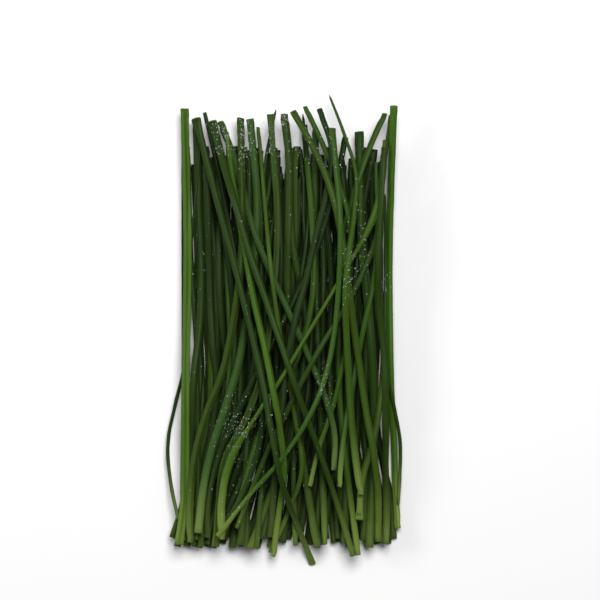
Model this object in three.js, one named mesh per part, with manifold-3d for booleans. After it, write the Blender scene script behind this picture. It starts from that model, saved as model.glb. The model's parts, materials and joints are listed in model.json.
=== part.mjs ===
// A bunch of cut chives lying flat, with the feet towards -Y and the tips towards +Y.
// Each chive is a round leaf, cut at the foot. Most are cut at the tip too, and a few taper to a point.
// They are laid one at a time, each on those beneath.
import * as THREE from "three";
import Module from "manifold-3d";

// Driving dimensions, in millimetres.
const underCount = 71;
const bunchHalfWidth = 39.5;
const footLine = -79;
const tipLine = 60;
const footRagged = 4;
const tipRagged = 8;
const waistShare = 0.8;
const footSplay = 16;
const tipSplay = 11;
const footSweep = 9;
const sweepMiddle = -8;
const sweepWidth = 22;
const waveMost = 1.5;
const footWidthRange = [1.9, 2.7];
const cutTipWidthRange = [2.1, 3.0];
const pointWidthRange = [0.8, 1.1];
const pointedShare = 0.15;
const paleShare = 0.35;
const taperPower = 2.5;

// How they lie.
const gap = 0.2;
const sink = 0.45;
const weldDepth = 0.2;
const sagPerStep = 0.7;
const chivesPerNode = 4;
const underFreedom = 3;
const topFreedom = 0.8;
const nestleTries = 60;
const crowdDraws = 24;
const crowdReach = 5;
const edgeCrowd = 1.5;
const edgeCalm = 0.85;
const groundCalm = 0.6;
const slideWidthRange = [1, 4];
const peakWeight = 0.5;
const nodesToTry = 6;
const settlePasses = 260;
const seed = 19;

// How finely each chive is divided.
const sides = 6;
const steps = 10;
const probesPerStep = 8;
const endReach = 2.5;
const groundSnap = 0.03;
const flatHeight = Math.cos(Math.PI / sides);

const tones = {
  deep: { color: 0x2b431c, roughness: 0.55 },
  mid: { color: 0x41652a, roughness: 0.5 },
  bright: { color: 0x5a7f38, roughness: 0.45 },
  grey: { color: 0x53704a, roughness: 0.6 },
};

// The chives on top, from the lowest laid to the highest: tone, width at the foot, width at the tip,
// and the places that each one passes on its way from foot to tip.
const topChives = [
  ["deep", 2.2, 0.9, [-17.2, -81.5], [-14.6, -38.5], [-10.1, 10], [-8.6, 57], [-4.1, 81.5]],
  ["deep", 2.4, 2.2, [20, -81], [22, -30], [26, 20], [29, 47.5], [31.6, 62]],
  ["mid", 2.8, 3.1, [10.8, -82.7], [4.1, -38.5], [-0.4, 10], [-0.2, 64.3], [-1.7, 79.7]],
  ["mid", 2.4, 2.5, [13.5, -81.5], [12.3, -27.3], [10.8, 10], [10.1, 47.5], [10.1, 74.4]],
  ["mid", 2.0, 2.2, [-39.8, -80], [-39.8, -40], [-39.3, 0], [-39.3, 40], [-39.5, 76.7]],
  ["deep", 2.0, 1.9, [-34.8, -79.7], [-33.6, -40], [-34, -4.9], [-35.4, 15], [-36.6, 40], [-37.2, 68]],
  ["deep", 2.6, 3.2, [-37, -79], [-36.2, -50], [-35, -22], [-32.5, 4], [-32.3, 25], [-33.4, 46], [-35, 78.2]],
  ["deep", 1.9, 0.9, [-11.6, -82.7], [-7, -40], [4, 10], [8.5, 50], [6, 80]],
  ["mid", 1.3, 0.8, [-41.5, -72], [-44.8, -56], [-45.4, -38], [-44, -32], [-40, -22], [-36, 30], [-33, 71]],
  ["deep", 2.3, 2.2, [-31, -79], [-30, -60], [-22, -38], [-9, -12], [6, 20], [16, 50], [21, 71]],
  ["mid", 2.3, 2.2, [-27.7, -82.3], [-27, -71], [-24.7, -51], [-11.4, -23], [-4.4, 32.5], [-6.6, 79.5]],
  ["mid", 3.0, 3.3, [29.2, -82.7], [29.9, -67.7], [31, -27.3], [28.8, 10], [27.3, 40], [26.6, 73.3]],
  ["grey", 3.0, 2.8, [-34.4, -77], [-32.2, -57.5], [-28.4, -42.3], [-19.4, -15.3], [-12.3, 36], [-15, 78]],
  ["mid", 3.0, 2.9, [-41.3, -81.5], [-38.5, -64.7], [-37.9, -21.7], [-37.2, 28.8], [-37.6, 50], [-38.4, 82]],
  ["mid", 2.0, 2.2, [-25, -78], [-19, -68], [-14.8, -53.5], [-10.1, -38.5], [0, -18], [8, 12], [5.6, 76]],
  ["deep", 1.9, 1.5, [-25.4, -77], [-18.3, -66], [-10, -42.3], [-10.1, -20], [-23.9, 44], [-32.5, 80.4]],
  ["bright", 2.3, 2.6, [25.1, -85.3], [19, -37], [17.9, -3], [20.9, 38], [25, 50], [28.8, 62.8], [36, 80]],
  ["mid", 1.7, 2.0, [7.9, -59.5], [9, -52.7], [16.5, -31], [22, -5], [23.6, 36], [19, 55], [6.7, 82.7]],
  ["grey", 2.1, 2.6, [16.5, -53.5], [16.8, -40.4], [10.8, -19.8], [-12.7, 32.5], [-20.9, 62.5], [-26.6, 77]],
  ["mid", 2.7, 2.7, [-36.5, -80.6], [-36.1, -61], [-32.9, -39.7], [-23.6, -15], [-17, 25], [-17.3, 78.5]],
  ["mid", 2.4, 1.4, [25.4, -72.2], [26.6, -57.2], [32.2, -35.5], [35, -1], [31.8, 32.5], [37.4, 79.3]],
  ["mid", 1.7, 1.4, [-6.4, -85], [0.7, -68.8], [5.4, -55], [4.1, -40.4], [-5.2, 10], [-11.6, 75.2]],
  ["mid", 2.1, 2.2, [-20.6, -75], [-12, -53.5], [-5.2, -38.5], [8.2, -12], [21.3, 10], [31.4, 33], [34, 62]],
  ["grey", 2.4, 2.0, [-7.5, -79], [-4.6, -40], [1, 0], [9, 30], [16.1, 62.5], [11.2, 81.5]],
  ["mid", 2.0, 1.5, [19.6, -59.8], [20.9, -42.3], [24.1, -25.4], [27.5, -4.9], [32, 28], [31.8, 61.7]],
  ["bright", 2.8, 2.3, [-25, -79], [-24.6, -61], [-20, -46], [-4.5, -22], [20.6, 20], [33.7, 45], [36.5, 70]],
  ["bright", 2.4, 2.6, [40.9, -75.9], [40, -60], [37.6, -24], [36.9, 10], [37, 35], [38.3, 82.7]],
  ["mid", 1.3, 0.8, [41.1, -66.6], [41.9, -53.5], [41.4, -38.5], [38.1, -24.7], [36, -5], [36, 50]],
  ["bright", 2.5, 2.7, [32.5, -80.4], [32.2, -57.2], [27.3, -27.3], [19.1, 32.5], [13.5, 55], [0.9, 80.4]],
  ["bright", 2.5, 2.3, [-6.7, -86], [-4.9, -73], [-2.6, -50], [-7.9, -16], [-20.9, 60], [-22.4, 73]],
  ["bright", 2.0, 3.1, [23.2, -85.6], [16.8, -64.7], [10.1, -45], [2.6, -24.7], [-26.4, 64.7], [-29.6, 77]],
  ["mid", 1.8, 2.2, [-27.7, -77.8], [-20.2, -67.7], [1, -42.3], [13.1, -18.7], [18.3, 32.5], [15.3, 74.4]],
  ["bright", 2.1, 2.7, [8.2, -89.4], [0, -66.6], [-3.4, -54.2], [-10.3, -16], [-14.5, 2.6], [-34.6, 78.2]],
  ["bright", 2.6, 0.8, [26, -62.8], [22.4, -34], [20.6, 13.8], [23.2, 33], [25.4, 56.5], [15.3, 86.8]],
  ["bright", 2.8, 2.5, [35.9, -81.5], [35.5, -46.4], [35, -12], [32.4, 12], [32.9, 30], [34.6, 67.3]],
];

const kernel = await Module();
kernel.setup();

function makeRandom(start) {
  let state = start;
  return () => {
    state = (Math.imul(state, 1664525) + 1013904223) >>> 0;
    return state / 4294967296;
  };
}

function between(range, share) {
  return range[0] + (range[1] - range[0]) * share;
}

// How far across the chive is at height y of its route: a smooth curve through its places.
function acrossAt(places, y) {
  const last = places.length - 1;
  const slope = (i) => {
    const before = places[Math.max(i - 1, 0)];
    const after = places[Math.min(i + 1, last)];
    return (after[0] - before[0]) / (after[1] - before[1]);
  };
  let i = 0;
  while (i < last - 1 && y > places[i + 1][1]) {
    i += 1;
  }
  const length = places[i + 1][1] - places[i][1];
  const t = (y - places[i][1]) / length;
  const start = (1 + 2 * t) * (1 - t) ** 2 * places[i][0] + t * (1 - t) ** 2 * length * slope(i);
  const end = t * t * (3 - 2 * t) * places[i + 1][0] + t * t * (t - 1) * length * slope(i + 1);
  return start + end;
}

// A chive's places in plan and its radius, at even steps from foot to tip.
function plan(tone, footWidth, tipWidth, places) {
  const foot = places[0][1];
  const tip = places[places.length - 1][1];
  const chive = { tone, foot, tip, x: [], y: [], z: [], radius: [] };
  for (let i = 0; i <= steps; i += 1) {
    const t = i / steps;
    const y = foot + (tip - foot) * t;
    chive.x.push(acrossAt(places, y));
    chive.y.push(y);
    chive.radius.push((footWidth + (tipWidth - footWidth) * t ** taperPower) / 2);
  }
  return chive;
}

// One of the chives beneath: splayed and waved at random, least at the edges and near the ground. The
// bunch has a waist, and the feet near its middle sweep to one side.
function planUnder(random, layer) {
  const place = bunchHalfWidth * (2 * random() - 1);
  const middle = waistShare * place;
  const room = (1 - edgeCalm * (place / bunchHalfWidth) ** 2) * (1 - groundCalm * (1 - layer));
  const sweep = footSweep * Math.exp(-(((middle - sweepMiddle) / sweepWidth) ** 2));
  const footX = place - sweep + footSplay * room * (2 * random() - 1);
  const tipX = middle + tipSplay * room * (2 * random() - 1);
  const wave = waveMost * (2 * random() - 1);
  const foot = footLine - footRagged * random();
  const tip = tipLine + tipRagged * (2 * random() - 1);
  const tipRange = random() < pointedShare ? pointWidthRange : cutTipWidthRange;
  const tone = random() < paleShare ? "mid" : "deep";
  const third = (tip - foot) / 3;
  const places = [[footX, foot], [middle + wave, foot + third], [middle - wave, tip - third], [tipX, tip]];
  return plan(tone, between(footWidthRange, random()), between(tipRange, random()), places);
}

// How many chives lie near this one in plan, averaged from foot to tip. The edges count as crowded, so
// that the bunch thins out towards them.
function crowding(chive, others) {
  let near = 0;
  for (const x of chive.x) {
    near += edgeCrowd * Math.abs(x / bunchHalfWidth) ** 4;
  }
  for (const other of others) {
    for (let i = 0; i <= steps; i += 1) {
      const t = (chive.y[i] - other.foot) / (other.tip - other.foot);
      if (t >= 0 && t <= 1) {
        near += Math.max(0, 1 - Math.abs(chive.x[i] - along(other.x, t)) / crowdReach) ** 2;
      }
    }
  }
  return near / (steps + 1);
}

// The chives beneath, each the least crowded of a few draws, so that all together cover the ground evenly.
function planAllUnder(random, top) {
  const under = [];
  for (let i = 0; i < underCount; i += 1) {
    const draws = Array.from({ length: crowdDraws }, () => planUnder(random, i / underCount));
    const crowds = draws.map((draw) => crowding(draw, [...top, ...under]));
    under.push(draws[crowds.indexOf(Math.min(...crowds))]);
  }
  return under;
}

function along(list, t) {
  const i = Math.min(Math.floor(t * steps), steps - 1);
  return list[i] + (list[i + 1] - list[i]) * (t * steps - i);
}

// How far the chive leans from straight ahead, in plan.
function leanAt(chive, t) {
  const i = Math.min(Math.floor(t * steps), steps - 1);
  return Math.atan2(chive.x[i + 1] - chive.x[i], chive.y[i + 1] - chive.y[i]);
}

// How high one centre line must pass over another, d away across, when their sections reach R in all.
function rise(d, R) {
  return Math.min(flatHeight * R, (R - d) / Math.tan(Math.PI / sides));
}

// The height at each probe that clears a chive laid before, and the height that sinks into it.
function heightsOver(laid, chive) {
  const clear = [];
  const sunk = [];
  for (let k = 0; k <= steps * probesPerStep; k += 1) {
    const t = k / (steps * probesPerStep);
    const y = along(chive.y, t);
    const end = k === 0 ? -endReach : endReach;
    const reach = k === 0 || t === 1 ? [y, y + end] : [y];
    let high = -Infinity;
    let low = -Infinity;
    for (const at of reach) {
      if (at > laid.foot - endReach && at < laid.tip + endReach) {
        const u = THREE.MathUtils.clamp((at - laid.foot) / (laid.tip - laid.foot), 0, 1);
        const lean = leanAt(laid, u);
        const d = Math.abs(along(chive.x, t) - along(laid.x, u)) * Math.cos(lean);
        const R = along(chive.radius, t) / Math.cos(leanAt(chive, t) - lean) + along(laid.radius, u);
        if (d < R + gap) {
          high = Math.max(high, along(laid.z, u) + rise(d, R + gap) + gap / 2);
        }
        if (d < R && at === y && at > laid.foot && at < laid.tip) {
          low = Math.max(low, along(laid.z, u) + rise(d, R) - sink);
        }
      }
    }
    clear.push(high);
    sunk.push(low);
  }
  return { laid, clear, sunk };
}

// Lets a chive down onto the heights that it needs at its probes, bending a little under its weight.
function settle(chive, need) {
  const z = chive.radius.map(() => Math.max(...need));
  const lift = () => {
    let worst = 0;
    for (let k = 0; k < need.length; k += 1) {
      const i = Math.min(Math.floor(k / probesPerStep), steps - 1);
      const share = k / probesPerStep - i;
      const short = need[k] - (z[i] * (1 - share) + z[i + 1] * share);
      if (short > 0) {
        const push = short / ((1 - share) ** 2 + share ** 2);
        z[i] += push * (1 - share);
        z[i + 1] += push * share;
        worst = Math.max(worst, short);
      }
    }
    return worst;
  };
  for (let pass = 0; pass < settlePasses; pass += 1) {
    const ease = 0.5 * (1 - pass / settlePasses) ** 2 + 0.004;
    z[0] += ease * (2 * z[1] - z[2] - sagPerStep - z[0]);
    for (let i = 1; i < steps; i += 1) {
      z[i] += ease * ((z[i - 1] + z[i + 1]) / 2 - sagPerStep - z[i]);
    }
    z[steps] += ease * (2 * z[steps - 1] - z[steps - 2] - sagPerStep - z[steps]);
    lift();
  }
  for (let pass = 0; pass < settlePasses && lift() > 0.001; pass += 1);
  return z.map((height, i) => {
    const onGround = flatHeight * chive.radius[i];
    return height < onGround + groundSnap ? onGround : height;
  });
}

function needed(chive, over, node) {
  const need = [];
  for (let k = 0; k <= steps * probesPerStep; k += 1) {
    let height = flatHeight * along(chive.radius, k / (steps * probesPerStep));
    for (const one of over) {
      height = Math.max(height, one.laid.node === node ? one.sunk[k] : one.clear[k]);
    }
    need.push(height);
  }
  return need;
}

// How deep a chive at heights z goes into the node's chives.
function depthInto(z, over, node) {
  let depth = -Infinity;
  for (const one of over) {
    if (one.laid.node === node) {
      one.sunk.forEach((height, k) => {
        depth = Math.max(depth, height + sink - along(z, k / (steps * probesPerStep)));
      });
    }
  }
  return depth;
}

// Lets a chive slide sideways, a stretch at a time, wherever that brings it lower, within its freedom.
function nestle(random, planned, chives, freedom) {
  let best = null;
  for (let attempt = 0; attempt < nestleTries; attempt += 1) {
    const chive = { ...planned, x: [...(best ?? planned).x] };
    const centre = steps * random();
    const width = between(slideWidthRange, random());
    const shift = best === null ? 0 : freedom * (2 * random() - 1);
    for (let i = 0; i <= steps; i += 1) {
      const x = chive.x[i] + shift * Math.exp(-(((i - centre) / width) ** 2));
      const least = Math.max(planned.x[i] - freedom, Math.min(-bunchHalfWidth, planned.x[i]));
      const most = Math.min(planned.x[i] + freedom, Math.max(bunchHalfWidth, planned.x[i]));
      chive.x[i] = THREE.MathUtils.clamp(x, least, most);
    }
    chive.over = chives.map((laid) => heightsOver(laid, chive));
    chive.z = settle(chive, needed(chive, chive.over, null));
    chive.height = chive.z.reduce((sum, z) => sum + z) / steps + peakWeight * Math.max(...chive.z);
    if (best === null || chive.height < best.height) {
      best = chive;
    }
  }
  return best;
}

// Lays a chive on those beneath. One that may join a node sinks into a chive that it rests on.
function lay(random, planned, chives, nodes, freedom, mayJoin) {
  const chive = nestle(random, planned, chives, freedom);
  let home = null;
  if (mayJoin) {
    const near = nodes.filter((node) => node.chives.length < chivesPerNode);
    near.sort((a, b) => depthInto(chive.z, chive.over, b) - depthInto(chive.z, chive.over, a));
    for (const node of near.slice(0, nodesToTry)) {
      const z = settle(chive, needed(chive, chive.over, node));
      if (home === null && depthInto(z, chive.over, node) > weldDepth) {
        home = node;
        chive.z = z;
      }
    }
  }
  if (home === null) {
    home = { tone: chive.tone, chives: [] };
    nodes.push(home);
  }
  chive.node = home;
  home.chives.push(chive);
  chives.push(chive);
}

// The closed tube of one chive: level six-sided rings from foot to tip, with a flat cut at each end.
function chiveGeometry(chive) {
  const positions = [];
  const faces = [];
  for (let i = 0; i <= steps; i += 1) {
    const from = Math.max(i - 1, 0);
    const to = Math.min(i + 1, steps);
    const heading = new THREE.Vector2(chive.x[to] - chive.x[from], chive.y[to] - chive.y[from]).normalize();
    for (let k = 0; k < sides; k += 1) {
      const angle = (k / sides) * 2 * Math.PI;
      const aside = Math.cos(angle) * chive.radius[i];
      const up = Math.sin(angle) * chive.radius[i];
      positions.push(chive.x[i] + aside * heading.y, chive.y[i] - aside * heading.x, chive.z[i] + up);
    }
  }
  for (let i = 0; i < steps; i += 1) {
    for (let k = 0; k < sides; k += 1) {
      const a = i * sides + k;
      const b = i * sides + ((k + 1) % sides);
      faces.push(a, a + sides, b, b, a + sides, b + sides);
    }
  }
  const end = steps * sides;
  for (let k = 1; k < sides - 1; k += 1) {
    faces.push(0, k, k + 1, end, end + k + 1, end + k);
  }
  const geometry = new THREE.BufferGeometry();
  geometry.setAttribute("position", new THREE.Float32BufferAttribute(positions, 3));
  geometry.setIndex(faces);
  return geometry;
}

function solidOf(geometry) {
  return new kernel.Manifold(
    new kernel.Mesh({
      numProp: 3,
      vertProperties: new Float32Array(geometry.getAttribute("position").array),
      triVerts: new Uint32Array(geometry.getIndex().array),
    }),
  );
}

function geometryOf(solid) {
  const mesh = solid.getMesh();
  const geometry = new THREE.BufferGeometry();
  geometry.setAttribute("position", new THREE.BufferAttribute(mesh.vertProperties, 3));
  geometry.setIndex(new THREE.BufferAttribute(mesh.triVerts, 1));
  geometry.computeVertexNormals();
  return geometry;
}

function layBunch() {
  const random = makeRandom(seed);
  const chives = [];
  const nodes = [];
  const top = topChives.map(([tone, foot, tip, ...places]) => plan(tone, foot, tip, places));
  for (const chive of planAllUnder(random, top)) {
    lay(random, chive, chives, nodes, underFreedom, true);
  }
  for (const chive of top) {
    lay(random, chive, chives, nodes, topFreedom, false);
  }
  return nodes;
}

const bunch = new THREE.Group();
for (const [index, node] of layBunch().entries()) {
  const solids = node.chives.map((chive) => solidOf(chiveGeometry(chive)));
  const whole = solids.reduce((sum, solid) => sum.add(solid));
  const mesh = new THREE.Mesh(geometryOf(whole), new THREE.MeshStandardMaterial(tones[node.tone]));
  mesh.name = `${node.chives.length > 1 ? "chives" : "chive"}_${String(index + 1).padStart(2, "0")}`;
  bunch.add(mesh);
}

// The origin is at the middle of the ground that the bunch covers.
const extent = new THREE.Box3().setFromObject(bunch);
const centre = extent.getCenter(new THREE.Vector3());
bunch.position.set(-centre.x, -centre.y, 0);

export default bunch;
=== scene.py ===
import json
import math
import random

import bmesh
import bpy
from mathutils import Matrix, Vector
from mathutils.bvhtree import BVHTree


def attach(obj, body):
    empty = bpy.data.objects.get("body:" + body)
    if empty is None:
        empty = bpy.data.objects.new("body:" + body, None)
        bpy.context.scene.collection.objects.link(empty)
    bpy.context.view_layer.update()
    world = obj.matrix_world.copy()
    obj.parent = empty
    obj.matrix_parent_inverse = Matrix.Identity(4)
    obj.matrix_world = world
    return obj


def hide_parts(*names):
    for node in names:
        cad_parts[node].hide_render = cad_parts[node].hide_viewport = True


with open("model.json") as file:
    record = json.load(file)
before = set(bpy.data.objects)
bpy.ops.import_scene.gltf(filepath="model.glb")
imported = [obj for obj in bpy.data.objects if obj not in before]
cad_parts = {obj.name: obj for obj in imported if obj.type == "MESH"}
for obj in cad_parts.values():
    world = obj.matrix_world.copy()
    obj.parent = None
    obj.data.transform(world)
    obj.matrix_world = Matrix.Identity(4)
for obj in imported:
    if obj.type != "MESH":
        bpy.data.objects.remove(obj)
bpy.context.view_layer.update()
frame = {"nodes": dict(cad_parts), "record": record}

print("frame loaded:", len(frame["nodes"]), "nodes")


def deselectAll():
    if bpy.context.object and bpy.context.object.mode != "OBJECT":
        bpy.ops.object.mode_set(mode="OBJECT")
    bpy.ops.object.select_all(action="DESELECT")


def pick(*things):
    deselectAll()
    for thing in things:
        thing.select_set(True)
    bpy.context.view_layer.objects.active = things[0]


def applyModifiers(thing):
    pick(thing)
    for modifier in list(thing.modifiers):
        bpy.ops.object.modifier_apply(modifier=modifier.name)


def applyPlace():
    bpy.ops.object.transform_apply(location=True, rotation=True, scale=True)


def copyOf(pattern):
    copy = pattern.copy()
    copy.data = pattern.data.copy()
    bpy.context.collection.objects.link(copy)
    return copy


# in edit mode: only the faces, edges or corners that are wanted stay selected
def choose(thing, kind, wanted):
    bpy.ops.mesh.select_mode(type=kind)
    form = bmesh.from_edit_mesh(thing.data)
    parts = {"VERT": form.verts, "EDGE": form.edges, "FACE": form.faces}[kind]
    for part in parts:
        part.select_set(False)
    for part in parts:
        if wanted(part):
            part.select_set(True)
    bmesh.update_edit_mesh(thing.data)


# camera: straight down on the bunch, feet towards the bottom of the view
camera = {
    "aimAt": (0.005993, 0.011513),
    "framed": 0.2244,      # width of ground in view
    "height": 1.2,         # above the middle of the bunch
    "middle": 0.010,
    "sensor": 36.0,
    "farthest": 10,
}
bpy.ops.object.camera_add(location=(*camera["aimAt"], camera["middle"] + camera["height"]))
eye = bpy.context.object
eye.name = "camera"
eye.data.sensor_width = camera["sensor"]
eye.data.lens = camera["sensor"] * camera["height"] / camera["framed"]
eye.data.clip_end = camera["farthest"]
bpy.context.scene.camera = eye
print("camera placed")


# where each leaf lies: read from the solids, which may be several leaves joined where they touch
reading = {
    "sameSpot": 1e-6,
    "hollow": math.radians(5),       # two faces that meet hollower than this lie on different leaves
    "weld": math.radians(40),        # so hollow an edge is a join between two leaves
    "rings": 11,
    "endReach": 0.0011,
    "ringReach": 0.0006,
    "widen": 1.3,
    "enough": 4,
    "scrap": 0.06,         # a run of faces shorter than this is a chip of a join, not a leaf
}


def leavesOf(node):
    form = bmesh.new()
    form.from_mesh(node.data)
    bmesh.ops.remove_doubles(form, verts=form.verts, dist=reading["sameSpot"])
    form.faces.ensure_lookup_table()
    weldCorners = set()
    for edge in form.edges:
        if edge.calc_face_angle_signed(0) < -reading["weld"]:
            weldCorners.update(corner.index for corner in edge.verts)
    seen = set()
    leaves = []
    for start in form.faces:
        if start.index in seen:
            continue
        seen.add(start.index)
        waiting = [start]
        corners = {}
        while waiting:
            face = waiting.pop()
            for corner in face.verts:
                corners[corner.index] = corner.co.copy()
            for edge in face.edges:
                hollow = edge.calc_face_angle_signed(0) < -reading["hollow"]
                welded = all(corner.index in weldCorners for corner in edge.verts)
                if weldCorners and (hollow or welded):
                    continue
                for other in edge.link_faces:
                    if other.index not in seen:
                        seen.add(other.index)
                        waiting.append(other)
        alongLeaf = [corner.y for corner in corners.values()]
        if max(alongLeaf) - min(alongLeaf) > reading["scrap"]:
            leaves.append(list(corners.values()))
    form.free()
    return leaves


# the middle line of one leaf and its half width along it, from foot to tip
def routeOf(corners):
    low = min(corner.y for corner in corners)
    high = max(corner.y for corner in corners)
    foot = [corner.y for corner in corners if corner.y < low + reading["endReach"]]
    tip = [corner.y for corner in corners if corner.y > high - reading["endReach"]]
    footAt = (min(foot) + max(foot)) / 2
    tipAt = (min(tip) + max(tip)) / 2
    route = []
    for ring in range(reading["rings"]):
        at = footAt + (tipAt - footAt) * ring / (reading["rings"] - 1)
        reach = reading["ringReach"]
        near = []
        while len(near) < reading["enough"]:
            near = [corner for corner in corners if abs(corner.y - at) < reach]
            reach *= reading["widen"]
        left = min(near, key=lambda corner: corner.x)
        right = max(near, key=lambda corner: corner.x)
        route.append(((left + right) / 2, (right - left).length / 2))
    return route


# the leaves of each node, from left to right at the foot
bunch = {}
for name, node in sorted(frame["nodes"].items()):
    if name.startswith("chive"):
        routes = [routeOf(corners) for corners in leavesOf(node)]
        bunch[name] = sorted(routes, key=lambda route: route[0][0].x)
print("leaves found:", sum(len(leaves) for leaves in bunch.values()))


# the pattern leaf: one hollow tube along X, modelled once for each kind of end and then copied
leaf = {
    "sides": 28,
    "length": 0.16,
    "radius": 0.001,       # the route's half width scales it
    "wall": 0.00022,
    "bore": 0.012,         # how deep the hollow of a cut end goes
    "boreMargin": 1.1,
    "rimRound": 0.00006,
    "rimAngle": 1.0,
    "rows": 80,
    "boreRows": 3,
    "pointReach": 0.0025,  # a pointed tip narrows over this length
    "pointRows": 4,
    "pointLeast": 0.42,
    "endGrip": 0.0002,     # what is this near the end is turned with it
    "squeezeReach": 0.006,
    "slantReach": 0.003,
    "smooth": math.radians(50),
    "ribEvery": 4,         # one row of corners in so many lies lower, between two veins
    "ribDepth": 0.05,      # as a share of the radius
    "grooveLine": 0.0001,
    "grooveReach": 0.0009,
    "sameEnd": 1e-6,
    "sameRing": 1e-5,
    "ringDigits": 6,
    "leastReach": 1e-9,
    "kinds": {             # slant in degrees and squeeze of each cut end, how sharp a point is, groove
        "leafCutStraight": {"foot": (5, 0.95), "tip": (-6, 0.9)},
        "leafCutAslant": {"foot": (20, 0.85), "tip": (14, 0.8), "groove": 0.00032},
        "leafCutPressed": {"foot": (-12, 0.7), "tip": (24, 0.65)},
        "leafCutGrooved": {"foot": (-7, 0.8), "tip": (-16, 0.75), "groove": 0.0006},
        "leafPointedFine": {"foot": (8, 0.9), "point": 2.0},
        "leafPointedBlunt": {"foot": (-14, 0.75), "point": 3.5},
    },
}
onSkin = leaf["radius"] - leaf["wall"] / 2   # what is farther from the middle is outside, and the rest is bore


def hollowEnd(thing, at, inward):
    choose(thing, "FACE", lambda face: abs(face.calc_center_median().x - at) < leaf["sameEnd"])
    bpy.ops.mesh.inset(thickness=leaf["wall"])
    bpy.ops.mesh.extrude_region_move(TRANSFORM_OT_translate={"value": (inward * leaf["bore"], 0, 0)})
    choose(thing, "EDGE", lambda edge: all(abs(end.co.x - at) < leaf["sameEnd"] for end in edge.verts)
           and len(edge.link_faces) == 2 and edge.calc_face_angle(0) > leaf["rimAngle"])
    bpy.ops.mesh.bevel(offset=leaf["rimRound"], segments=1)


def runOf(edge):
    return abs(edge.verts[0].co.x - edge.verts[1].co.x)


def addRows(thing, rows, wanted):
    choose(thing, "EDGE", wanted)
    bpy.ops.mesh.subdivide(number_cuts=rows)


# what the finish reads: place round and along the leaf, and which faces the cut laid bare
def writeSkin(thing, cutEnds):
    spots = [vertex.co for vertex in thing.data.vertices]
    skin = thing.data.attributes.new("skin", "FLOAT_VECTOR", "POINT")
    along = thing.data.attributes.new("along", "FLOAT", "POINT")
    flesh = thing.data.attributes.new("flesh", "FLOAT", "POINT")
    for index, spot in enumerate(spots):
        reach = max(math.hypot(spot.y, spot.z), leaf["leastReach"])
        skin.data[index].vector = (spot.y / reach, spot.z / reach, spot.x / leaf["radius"])
        along.data[index].value = spot.x / leaf["length"]
        nearCut = any(abs(spot.x - end) < leaf["bore"] * leaf["boreMargin"] for end in cutEnds)
        flesh.data[index].value = 1.0 if nearCut and reach < onSkin else 0.0


def softly(reach):
    return {"use_proportional_edit": True, "proportional_edit_falloff": "SMOOTH", "proportional_size": reach}


# a cut end is squeezed flat by the blade, as much wider as it gets lower, and slants a little
def nudgeEnd(thing, at, slant, squeeze):
    choose(thing, "VERT", lambda corner: abs(corner.co.x - at) < leaf["endGrip"])
    bpy.ops.transform.resize(value=(1, 2 - squeeze, squeeze), center_override=(at, 0, 0),
                             **softly(leaf["squeezeReach"]))
    bpy.ops.transform.rotate(value=math.radians(slant), orient_axis="Y", center_override=(at, 0, 0),
                             **softly(leaf["slantReach"]))


# shallow furrows run between the veins, all round and from foot to tip
def furrow(thing):
    step = 2 * math.pi / leaf["sides"]

    def wanted(corner):
        row = round(math.atan2(corner.co.z, corner.co.y) / step)
        return math.hypot(corner.co.y, corner.co.z) > onSkin and row % leaf["ribEvery"] == 0

    choose(thing, "VERT", wanted)
    slim = 1 - leaf["ribDepth"]
    bpy.ops.transform.resize(value=(1, slim, slim), center_override=(0, 0, 0))


# the thin wall of a hollow leaf gives way along one side
def pressGroove(thing, depth):
    choose(thing, "VERT", lambda corner: corner.co.z > 0 and abs(corner.co.y) < leaf["grooveLine"])
    bpy.ops.transform.translate(value=(0, 0, -depth), **softly(leaf["grooveReach"]))


# each ring near the tip is drawn in, and the last one most
def narrowTip(thing, sharpness):
    start = leaf["length"] - leaf["pointReach"]
    form = bmesh.from_edit_mesh(thing.data)
    rings = sorted({round(vertex.co.x, leaf["ringDigits"]) for vertex in form.verts if vertex.co.x > start})
    for at in rings:
        choose(thing, "VERT", lambda corner: abs(corner.co.x - at) < leaf["sameRing"])
        left = max((leaf["length"] - at) / leaf["pointReach"], 0)
        width = max(1 - (1 - left) ** sharpness, leaf["pointLeast"])
        bpy.ops.transform.resize(value=(1, width, width), center_override=(at, 0, 0))


def modelLeaf(name, foot, tip=None, point=None, groove=None):
    length, bore = leaf["length"], leaf["bore"]
    deselectAll()
    bpy.ops.mesh.primitive_cylinder_add(vertices=leaf["sides"], radius=leaf["radius"], depth=length,
                                        location=(length / 2, 0, 0), rotation=(0, math.pi / 2, 0))
    thing = bpy.context.object
    thing.name = name
    applyPlace()
    bpy.ops.object.mode_set(mode="EDIT")
    hollowEnd(thing, 0, 1)
    if tip:
        hollowEnd(thing, length, -1)
    addRows(thing, leaf["rows"], lambda edge: length / 2 < runOf(edge) < length * 2)
    addRows(thing, leaf["boreRows"], lambda edge: bore / 2 < runOf(edge) < bore * 2)
    if point:
        row = length / (leaf["rows"] + 1)
        addRows(thing, leaf["pointRows"], lambda edge: runOf(edge) > row / 2
                and min(end.co.x for end in edge.verts) > length - leaf["pointReach"])
    bpy.ops.object.mode_set(mode="OBJECT")
    writeSkin(thing, [0, length] if tip else [0])
    bpy.ops.object.mode_set(mode="EDIT")
    furrow(thing)
    if groove:
        pressGroove(thing, groove)
    nudgeEnd(thing, 0, *foot)
    if point:
        narrowTip(thing, point)
    if tip:
        nudgeEnd(thing, length, *tip)
    bpy.ops.object.mode_set(mode="OBJECT")
    pick(thing)
    bpy.ops.object.shade_smooth_by_angle(angle=leaf["smooth"])
    return thing


patterns = {name: modelLeaf(name, **kind) for name, kind in leaf["kinds"].items()}
cutLeaves = [pattern for name, pattern in patterns.items() if "tip" in leaf["kinds"][name]]
pointedLeaves = [pattern for name, pattern in patterns.items() if "point" in leaf["kinds"][name]]
print("pattern leaves modelled")


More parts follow.
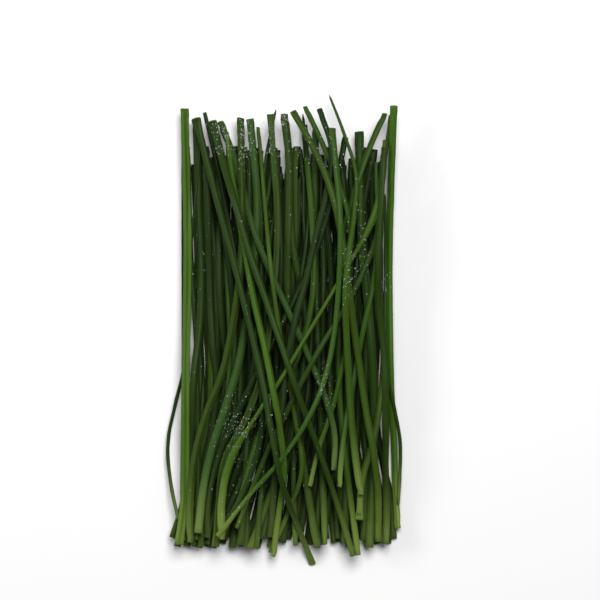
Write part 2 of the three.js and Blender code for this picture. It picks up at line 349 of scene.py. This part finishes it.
laying = {
    "seed": 2,
    "guideSteps": 10,
    "pointedUnder": 0.00062,   # half width at the tip below which a leaf is pointed
    "swell": 1.04,             # a leaf is this much wider than the line read from the solids
    "flatAbove": 0.72,         # height over half the width, above and below the middle
    "flatBelow": 0.9,
    "twist": 0.35,             # most that a leaf leans to either side on its way
    "lump": 0.00022,
    "lumpSize": 0.006,
    "ownRange": 500,           # how far apart the patterns of two leaves may start
}
lumps = bpy.data.textures.new("lumps", "CLOUDS")
lumps.noise_scale = laying["lumpSize"]


# a guide line through the rings, for a copy of the pattern leaf to follow
def guideAlong(route, tilts):
    line = bpy.data.curves.new("guide", "CURVE")
    line.dimensions = "3D"
    line.twist_mode = "Z_UP"
    line.resolution_u = laying["guideSteps"]
    line.use_radius = True
    line.use_stretch = True
    line.use_deform_bounds = True
    spline = line.splines.new("BEZIER")
    spline.bezier_points.add(len(route) - 1)
    for point, (place, halfWidth), tilt in zip(spline.bezier_points, route, tilts):
        point.co = place
        point.radius = laying["swell"] * halfWidth / leaf["radius"]
        point.tilt = tilt
        point.handle_left_type = "AUTO"
        point.handle_right_type = "AUTO"
    guide = bpy.data.objects.new("guide", line)
    bpy.context.collection.objects.link(guide)
    return guide


def setAll(mesh, name, value):
    attribute = mesh.attributes.new(name, "FLOAT", "POINT")
    attribute.data.foreach_set("value", [value] * len(mesh.vertices))


# a leaf is flatter on its upper side than where it rests
def flatten(thing):
    bpy.ops.object.mode_set(mode="EDIT")
    choose(thing, "VERT", lambda corner: corner.co.z > 0)
    bpy.ops.transform.resize(value=(1, 1, laying["flatAbove"]), center_override=(0, 0, 0))
    choose(thing, "VERT", lambda corner: corner.co.z < 0)
    bpy.ops.transform.resize(value=(1, 1, laying["flatBelow"]), center_override=(0, 0, 0))
    bpy.ops.object.mode_set(mode="OBJECT")


def layLeaf(route, luck):
    pointed = route[-1][1] < laying["pointedUnder"]
    copy = copyOf(luck.choice(pointedLeaves if pointed else cutLeaves))
    pick(copy)
    bpy.ops.transform.rotate(value=luck.uniform(0, 2 * math.pi), orient_axis="X", center_override=(0, 0, 0))
    applyPlace()
    flatten(copy)
    guide = guideAlong(route, [luck.uniform(-laying["twist"], laying["twist"]) for ring in route])
    bend = copy.modifiers.new("bend", "CURVE")
    bend.object = guide
    bend.deform_axis = "POS_X"
    uneven = copy.modifiers.new("uneven", "DISPLACE")
    uneven.texture = lumps
    uneven.texture_coords = "LOCAL"
    uneven.strength = laying["lump"]
    uneven.mid_level = 0.5
    applyModifiers(copy)
    line = guide.data
    bpy.data.objects.remove(guide)
    bpy.data.curves.remove(line)
    setAll(copy.data, "tint", luck.random())
    setAll(copy.data, "shade", luck.random())
    setAll(copy.data, "pointed", float(pointed))
    setAll(copy.data, "own", luck.uniform(0, laying["ownRange"]))
    return copy


pieces = {}
for name, leaves in bunch.items():
    luck = random.Random(f"{name} {laying['seed']}")
    laid = [layLeaf(route, luck) for route in leaves]
    pick(*laid)
    if len(laid) > 1:
        bpy.ops.object.join()
    piece = bpy.context.object
    piece.name = name.replace("chives", "leaves").replace("chive", "leaf")
    piece.data.name = piece.name
    pieces[name] = piece
for pattern in patterns.values():
    bpy.data.objects.remove(pattern)
print("leaves laid:", len(pieces), "pieces")


# how far each spot lies below the leaves around it, where little light gets down; the leaf colour is darkened by
# it, as painted shade
sunken = {
    "cell": 0.0025,
    "around": (-1, 0, 1),
    "slack": 0.001,
    "deepest": 0.010,
}


def cellOf(spot):
    return math.floor(spot.x / sunken["cell"]), math.floor(spot.y / sunken["cell"])


tops = {}
for piece in pieces.values():
    for vertex in piece.data.vertices:
        cell = cellOf(vertex.co)
        tops[cell] = max(tops.get(cell, 0), vertex.co.z)
surroundings = {}
for column, row in tops:
    near = [tops.get((column + right, row + ahead), 0)
            for right in sunken["around"] for ahead in sunken["around"]]
    surroundings[column, row] = sum(near) / len(near)
for piece in pieces.values():
    sunk = piece.data.attributes.new("sunk", "FLOAT", "POINT")
    for vertex, entry in zip(piece.data.vertices, sunk.data):
        below = surroundings[cellOf(vertex.co)] - vertex.co.z - sunken["slack"]
        entry.value = min(max(below / sunken["deepest"], 0), 1)
print("depth among the leaves written")


# water drops: each sits on the highest leaf under its place
dew = {
    "seed": 5,
    "radius": (0.00010, 0.00025),
    "sides": 8,
    "rings": 6,
    "cut": -0.25,          # a drop is cut off this far below its middle, as a share of its radius
    "squash": 0.8,
    "steepest": 0.35,      # least upward lean of the skin that holds a drop
    "dropFrom": 0.1,
    "patches": [           # middle, reach and number of drops
        (-0.0146, 0.0710, 0.0034, 0.0120, 200),
        (-0.0220, 0.0722, 0.0060, 0.0080, 160),
        (-0.0037, 0.0717, 0.0040, 0.0070, 90),
        (0.0004, 0.0785, 0.0026, 0.0030, 40),
        (0.0120, 0.0690, 0.0200, 0.0130, 130),
        (-0.0310, 0.0150, 0.0040, 0.0300, 24),
        (0.0150, -0.0218, 0.0040, 0.0120, 80),
        (0.0238, 0.0208, 0.0030, 0.0150, 70),
        (0.0288, 0.0340, 0.0040, 0.0200, 70),
        (0.0382, 0.0171, 0.0020, 0.0080, 20),
        (-0.0179, -0.0352, 0.0080, 0.0120, 170),
        (-0.0060, -0.0445, 0.0240, 0.0220, 80),
        (-0.0187, -0.0650, 0.0160, 0.0100, 30),
        (0.0000, 0.0300, 0.0300, 0.0300, 60),
    ],
    # the drops are whitened and partly diffuse: clear water with a painted glint, so they show as bright specks
    "water": {"Base Color": (0.96, 1.0, 0.95, 1), "Roughness": 0.08, "IOR": 1.333, "Transmission Weight": 0.7},
}


def modelDrop():
    deselectAll()
    bpy.ops.mesh.primitive_uv_sphere_add(segments=dew["sides"], ring_count=dew["rings"], radius=1)
    drop = bpy.context.object
    drop.name = "drop"
    bpy.ops.object.mode_set(mode="EDIT")
    bpy.ops.mesh.select_all(action="SELECT")
    bpy.ops.mesh.bisect(plane_co=(0, 0, dew["cut"]), plane_no=(0, 0, 1), use_fill=True, clear_inner=True)
    bpy.ops.mesh.select_all(action="SELECT")
    bpy.ops.transform.translate(value=(0, 0, -dew["cut"]))
    bpy.ops.transform.resize(value=(1, 1, dew["squash"]), center_override=(0, 0, 0))
    bpy.ops.object.mode_set(mode="OBJECT")
    bpy.ops.object.shade_smooth_by_angle(angle=leaf["smooth"])
    return drop


def skinUnder(trees, x, y):
    hits = [tree.ray_cast(Vector((x, y, dew["dropFrom"])), Vector((0, 0, -1))) for tree in trees]
    hits = [hit for hit in hits if hit[0] is not None]
    return max(hits, key=lambda hit: hit[0].z) if hits else None


drop = modelDrop()
bpy.context.view_layer.update()
graph = bpy.context.evaluated_depsgraph_get()
trees = [BVHTree.FromObject(piece, graph) for piece in pieces.values()]
luck = random.Random(dew["seed"])
smallest, largest = dew["radius"]
drops = []
for middleX, middleY, reachX, reachY, count in dew["patches"]:
    for number in range(count):
        x = luck.gauss(middleX, reachX / 2)
        y = luck.gauss(middleY, reachY / 2)
        size = smallest + (largest - smallest) * luck.random() ** 2
        turn = luck.uniform(0, 2 * math.pi)
        hit = skinUnder(trees, x, y)
        if hit and hit[1].z > dew["steepest"]:
            bead = copyOf(drop)
            lean = hit[1].to_track_quat("Z", "Y").to_matrix().to_4x4()
            bead.matrix_world = (Matrix.Translation(hit[0]) @ lean @ Matrix.Rotation(turn, 4, "Z")
                                 @ Matrix.Scale(size, 4))
            drops.append(bead)
bpy.data.objects.remove(drop)
pick(*drops)
applyPlace()
bpy.ops.object.join()
dewPiece = bpy.context.object
dewPiece.name = "dewDrops"
dewPiece.data.name = "dewDrops"
print("drops set down:", len(drops))


# node helpers, for the finishes
mixSockets = {"factor": 0, "first": 6, "second": 7, "result": 2}   # those of a Mix node set to colour


def newGroup(name, inputs, outputs):
    group = bpy.data.node_groups.new(name, "ShaderNodeTree")
    for label, value in inputs.items():
        kind = "NodeSocketColor" if isinstance(value, tuple) else "NodeSocketFloat"
        socket = group.interface.new_socket(name=label, in_out="INPUT", socket_type=kind)
        socket.default_value = value
    for label, kind in outputs.items():
        group.interface.new_socket(name=label, in_out="OUTPUT", socket_type=kind)
    return group, group.nodes.new("NodeGroupInput"), group.nodes.new("NodeGroupOutput")


def plainFinish(name, values):
    finish = bpy.data.materials.new(name)
    finish.use_nodes = True
    shader = finish.node_tree.nodes["Principled BSDF"]
    for label, value in values.items():
        shader.inputs[label].default_value = value
    return finish


class Bench:
    def __init__(self, tree):
        self.tree = tree

    def add(self, kind, links=None, **settings):
        node = self.tree.nodes.new(kind)
        for key, value in settings.items():
            setattr(node, key, value)
        for socket, value in (links or {}).items():
            self.feed(node, socket, value)
        return node

    def feed(self, node, socket, value):
        target = node.inputs[socket]
        if isinstance(value, bpy.types.NodeSocket):
            self.tree.links.new(value, target)
        else:
            target.default_value = value

    def read(self, name, output="Fac"):
        return self.add("ShaderNodeAttribute", attribute_name=name).outputs[output]

    def reckon(self, operation, *values):
        node = self.add("ShaderNodeMath", dict(enumerate(values)), operation=operation)
        return node.outputs[0]

    def times(self, first, second):
        return self.reckon("MULTIPLY", first, second)

    def plus(self, first, second):
        return self.reckon("ADD", first, second)

    def less(self, first, second):
        return self.reckon("SUBTRACT", first, second)

    def ramp(self, value, low, high, toLow=0.0, toHigh=1.0):
        node = self.add("ShaderNodeMapRange", {"Value": value, "From Min": low, "From Max": high,
                                               "To Min": toLow, "To Max": toHigh},
                        interpolation_type="SMOOTHSTEP")
        return node.outputs["Result"]

    def blend(self, factor, first, second, way="MIX"):
        node = self.add("ShaderNodeMix", data_type="RGBA", blend_type=way)
        self.feed(node, mixSockets["factor"], factor)
        self.feed(node, mixSockets["first"], first)
        self.feed(node, mixSockets["second"], second)
        return node.outputs[mixSockets["result"]]

    def noise(self, place, stretch, detail, roughness):
        stretched = self.add("ShaderNodeMapping", {"Vector": place, "Scale": stretch})
        node = self.add("ShaderNodeTexNoise", {"Vector": stretched.outputs[0], "Scale": 1.0,
                                               "Detail": detail, "Roughness": roughness})
        return node.outputs["Fac"]


def skinPlace(bench):
    own = bench.add("ShaderNodeCombineXYZ", {"X": bench.read("own"), "Y": 0.0, "Z": bench.read("own")})
    moved = bench.add("ShaderNodeVectorMath", {0: bench.read("skin", "Vector"), 1: own.outputs[0]},
                      operation="ADD")
    return moved.outputs[0]


def angleRound(bench):
    split = bench.add("ShaderNodeSeparateXYZ", {0: bench.read("skin", "Vector")})
    return bench.reckon("ARCTAN2", split.outputs[1], split.outputs[0])


# the tones, one for each material slot
leafTones = {
    "chive_deep": {"Green": (0.011, 0.031, 0.004, 1), "Fresh": (0.025, 0.052, 0.006, 1),
                   "Pale": (0.058, 0.094, 0.017, 1), "Wax": (0.040, 0.068, 0.022, 1),
                   "Flesh": (0.026, 0.046, 0.009, 1), "Dried": (0.040, 0.036, 0.012, 1),
                   "Bloom": 0.15, "Tip Shade": 0.88},
    "chive_mid": {"Green": (0.025, 0.066, 0.006, 1), "Fresh": (0.051, 0.102, 0.009, 1),
                  "Pale": (0.130, 0.195, 0.036, 1), "Wax": (0.062, 0.100, 0.032, 1),
                  "Flesh": (0.044, 0.078, 0.013, 1), "Dried": (0.060, 0.055, 0.018, 1),
                  "Bloom": 0.18, "Tip Shade": 0.92},
    "chive_bright": {"Green": (0.041, 0.104, 0.007, 1), "Fresh": (0.070, 0.146, 0.011, 1),
                     "Pale": (0.180, 0.250, 0.050, 1), "Wax": (0.090, 0.145, 0.040, 1),
                     "Flesh": (0.066, 0.116, 0.018, 1), "Dried": (0.09, 0.080, 0.025, 1),
                     "Bloom": 0.16, "Tip Shade": 0.85},
    "chive_grey": {"Green": (0.025, 0.060, 0.010, 1), "Fresh": (0.037, 0.080, 0.013, 1),
                   "Pale": (0.130, 0.190, 0.048, 1), "Wax": (0.064, 0.104, 0.040, 1),
                   "Flesh": (0.044, 0.078, 0.016, 1), "Dried": (0.065, 0.058, 0.02, 1),
                   "Bloom": 0.3, "Tip Shade": 0.88},
}
leafRoughness = {"chive_deep": 0.48, "chive_mid": 0.48, "chive_bright": 0.46, "chive_grey": 0.52}

# colour along and round one leaf, with painted shade in the furrows and where a leaf lies below the leaves
# around it
colouring = {
    "shades": {"Painted Sunk Shade": 0.36, "Painted Furrow Shade": 0.62},
    "grains": {            # stretch of the noise round and along the leaf, detail, roughness
        "streaks": ((3.5, 3.5, 0.05), 3.0, 0.6),
        "bands": ((1.3, 1.3, 0.03), 2.0, 0.5),
        "patches": ((0.5, 0.5, 0.045), 2.0, 0.5),
        "blush": ((1.1, 1.1, 0.16), 3.0, 0.5),
    },
    "tint": (0.0, 1.2),    # from here on, each span runs from one value to the other, and may say into what
    "shade": (0.0, 1.0, 0.58, 1.24),
    "streaks": (0.3, 0.7, 0.6, 1.56),
    "bands": (0.3, 0.7, 0.8, 1.2),
    "furrow": (0.1, 1.0),
    "darkTip": (0.45, 0.95),
    "paleFoot": (0.18, 0.0),
    "footShade": (0.0, 1.0, 0.4, 0.85),
    "blush": (0.42, 0.72),
    "driedPoint": (0.988, 0.996),
    "driedCut": (0.4965, 0.4995),
    "sunk": (0.0, 0.8),
    "noiseMiddle": 0.5,
    "patchSway": 1.4,      # how much patches of a leaf differ in tint
    "cutMost": 0.55,       # how far a cut has dried
}
colourGroup, given, result = newGroup("leafColour", {**leafTones["chive_mid"], **colouring["shades"]},
                                      {"Color": "NodeSocketColor", "Wax": "NodeSocketFloat"})
bench = Bench(colourGroup)
place = skinPlace(bench)
along = bench.read("along")
shade = bench.read("shade")
grains = {label: bench.noise(place, *grain) for label, grain in colouring["grains"].items()}
sway = bench.times(bench.less(grains["patches"], colouring["noiseMiddle"]), colouring["patchSway"])
tint = bench.ramp(bench.plus(bench.read("tint"), sway), *colouring["tint"])
colour = bench.blend(tint, given.outputs["Green"], given.outputs["Fresh"])
light = bench.times(bench.ramp(shade, *colouring["shade"]), bench.ramp(grains["streaks"], *colouring["streaks"]))
light = bench.times(light, bench.ramp(grains["bands"], *colouring["bands"]))
# painted shade: the colour is darkened along the furrows between the veins, where shade would fall
waves = bench.reckon("COSINE", bench.times(angleRound(bench), leaf["sides"] / leaf["ribEvery"]))
paintedFurrowShade = bench.times(bench.ramp(waves, *colouring["furrow"]), bench.less(1.0, given.outputs["Painted Furrow Shade"]))
light = bench.times(light, bench.less(1.0, paintedFurrowShade))
towardsTip = bench.times(bench.ramp(along, *colouring["darkTip"]), bench.less(1.0, given.outputs["Tip Shade"]))
light = bench.times(light, bench.less(1.0, towardsTip))
colour = bench.blend(1.0, colour, light, "MULTIPLY")
paleFoot = bench.times(bench.ramp(along, *colouring["paleFoot"]), bench.ramp(shade, *colouring["footShade"]))
colour = bench.blend(paleFoot, colour, given.outputs["Pale"])
waxy = bench.times(bench.ramp(grains["blush"], *colouring["blush"]), given.outputs["Bloom"])
colour = bench.blend(waxy, colour, given.outputs["Wax"])
driedPoint = bench.times(bench.ramp(along, *colouring["driedPoint"]), bench.read("pointed"))
fromMiddle = bench.reckon("ABSOLUTE", bench.less(along, 0.5))
driedCut = bench.times(bench.ramp(fromMiddle, *colouring["driedCut"]), colouring["cutMost"])
colour = bench.blend(bench.reckon("MAXIMUM", driedPoint, driedCut), colour, given.outputs["Dried"])
colour = bench.blend(bench.read("flesh"), colour, given.outputs["Flesh"])
# painted shade: spots that lie below the leaves around them are darkened
paintedDepthShade = bench.times(bench.ramp(bench.read("sunk"), *colouring["sunk"]),
                       bench.less(1.0, given.outputs["Painted Sunk Shade"]))
colour = bench.blend(1.0, colour, bench.less(1.0, paintedDepthShade), "MULTIPLY")
bench.feed(result, "Color", colour)
bench.feed(result, "Wax", waxy)

# fine veins that run the length of the leaf, and shallow puckers
relief = {
    "veins": 26.0,
    "fine": ((5.0, 5.0, 0.12), 3.0, 0.6),     # stretch, detail and roughness, as above
    "pucker": ((1.2, 1.2, 0.5), 2.0, 0.5),
    "veinShare": 0.15,
    "fineShare": 0.6,
    "puckerShare": 0.7,
    "bump": {"Strength": 0.45, "Distance": 0.0001},
}
reliefGroup, given, result = newGroup("leafRelief", {"Veins": relief["veins"]}, {"Height": "NodeSocketFloat"})
bench = Bench(reliefGroup)
place = skinPlace(bench)
vein = bench.reckon("SINE", bench.times(angleRound(bench), given.outputs["Veins"]))
fine = bench.noise(place, *relief["fine"])
pucker = bench.noise(place, *relief["pucker"])
height = bench.plus(bench.times(vein, relief["veinShare"]), bench.times(fine, relief["fineShare"]))
height = bench.plus(height, bench.times(pucker, relief["puckerShare"]))
bench.feed(result, "Height", height)

leafShine = {
    "Specular IOR Level": 0.14, "Specular Tint": (0.7, 1.0, 0.6, 1),
    "Subsurface Weight": 0.08, "Subsurface Radius": (0.4, 1.0, 0.2), "Subsurface Scale": 0.0008,
    "Sheen Weight": 0.09, "Sheen Roughness": 0.35, "Sheen Tint": (0.55, 0.85, 0.35, 1),
}
waxRough = {"full": 0.5, "more": 0.2}   # where the wax is full, the leaf is this much rougher


def leafFinish(name, tone, roughness):
    finish = bpy.data.materials.new(name)
    finish.use_nodes = True
    finish.node_tree.nodes.clear()
    bench = Bench(finish.node_tree)
    skin = bench.add("ShaderNodeGroup", node_tree=colourGroup)
    raised = bench.add("ShaderNodeGroup", node_tree=reliefGroup)
    for label, value in tone.items():
        skin.inputs[label].default_value = value
    bump = bench.add("ShaderNodeBump", {"Height": raised.outputs["Height"], **relief["bump"]})
    rough = bench.ramp(skin.outputs["Wax"], 0.0, waxRough["full"], roughness, roughness + waxRough["more"])
    shader = bench.add("ShaderNodeBsdfPrincipled", {
        "Base Color": skin.outputs["Color"], "Roughness": rough, "Normal": bump.outputs["Normal"], **leafShine})
    bench.add("ShaderNodeOutputMaterial", {"Surface": shader.outputs[0]})
    return finish


slotOf = {part["node"]: part["material_slot"] for part in frame["record"]["subparts"]}
finishes = {slot: leafFinish("leaf" + slot.split("_")[1].capitalize(), tone, leafRoughness[slot])
            for slot, tone in leafTones.items()}
for name, piece in pieces.items():
    piece.data.materials.append(finishes[slotOf[name]])
    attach(piece, "root")
    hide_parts(name)
dewPiece.data.materials.append(plainFinish("dewWaterAndGlint", dew["water"]))
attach(dewPiece, "root")
print("finishes made")


# floor and light
floorPlan = {
    "size": 6,
    "below": 0.0002,
    "paint": {"Base Color": (0.8, 0.8, 0.8, 1), "Roughness": 0.8},
}
deselectAll()
bpy.ops.mesh.primitive_plane_add(size=floorPlan["size"], location=(0, 0, -floorPlan["below"]))
floor = bpy.context.object
floor.name = "floor"
floor.data.materials.append(plainFinish("paleFloor", floorPlan["paint"]))

studio = {
    "sky": 0.18,
    "skyColour": (1, 1, 1, 1),
    "lamps": {
        "key": {"at": (0.10, 0.32, 0.95), "size": 0.5, "watts": 10.6},
        "fill": {"at": (-0.85, 0.15, 0.55), "size": 0.4, "watts": 3.7},
    },
}
for name, lamp in studio["lamps"].items():
    bpy.ops.object.light_add(type="AREA", location=lamp["at"])
    light = bpy.context.object
    light.name = name
    light.data.shape = "DISK"
    light.data.size = lamp["size"]
    light.data.energy = lamp["watts"]
    light.rotation_euler = Vector(lamp["at"]).to_track_quat("Z", "Y").to_euler()
world = bpy.data.worlds.new("studio")
bpy.context.scene.world = world
world.use_nodes = True
sky = world.node_tree.nodes["Background"]
sky.inputs["Color"].default_value = studio["skyColour"]
sky.inputs["Strength"].default_value = studio["sky"]
bpy.context.scene.view_settings.view_transform = "Standard"
print("studio set")
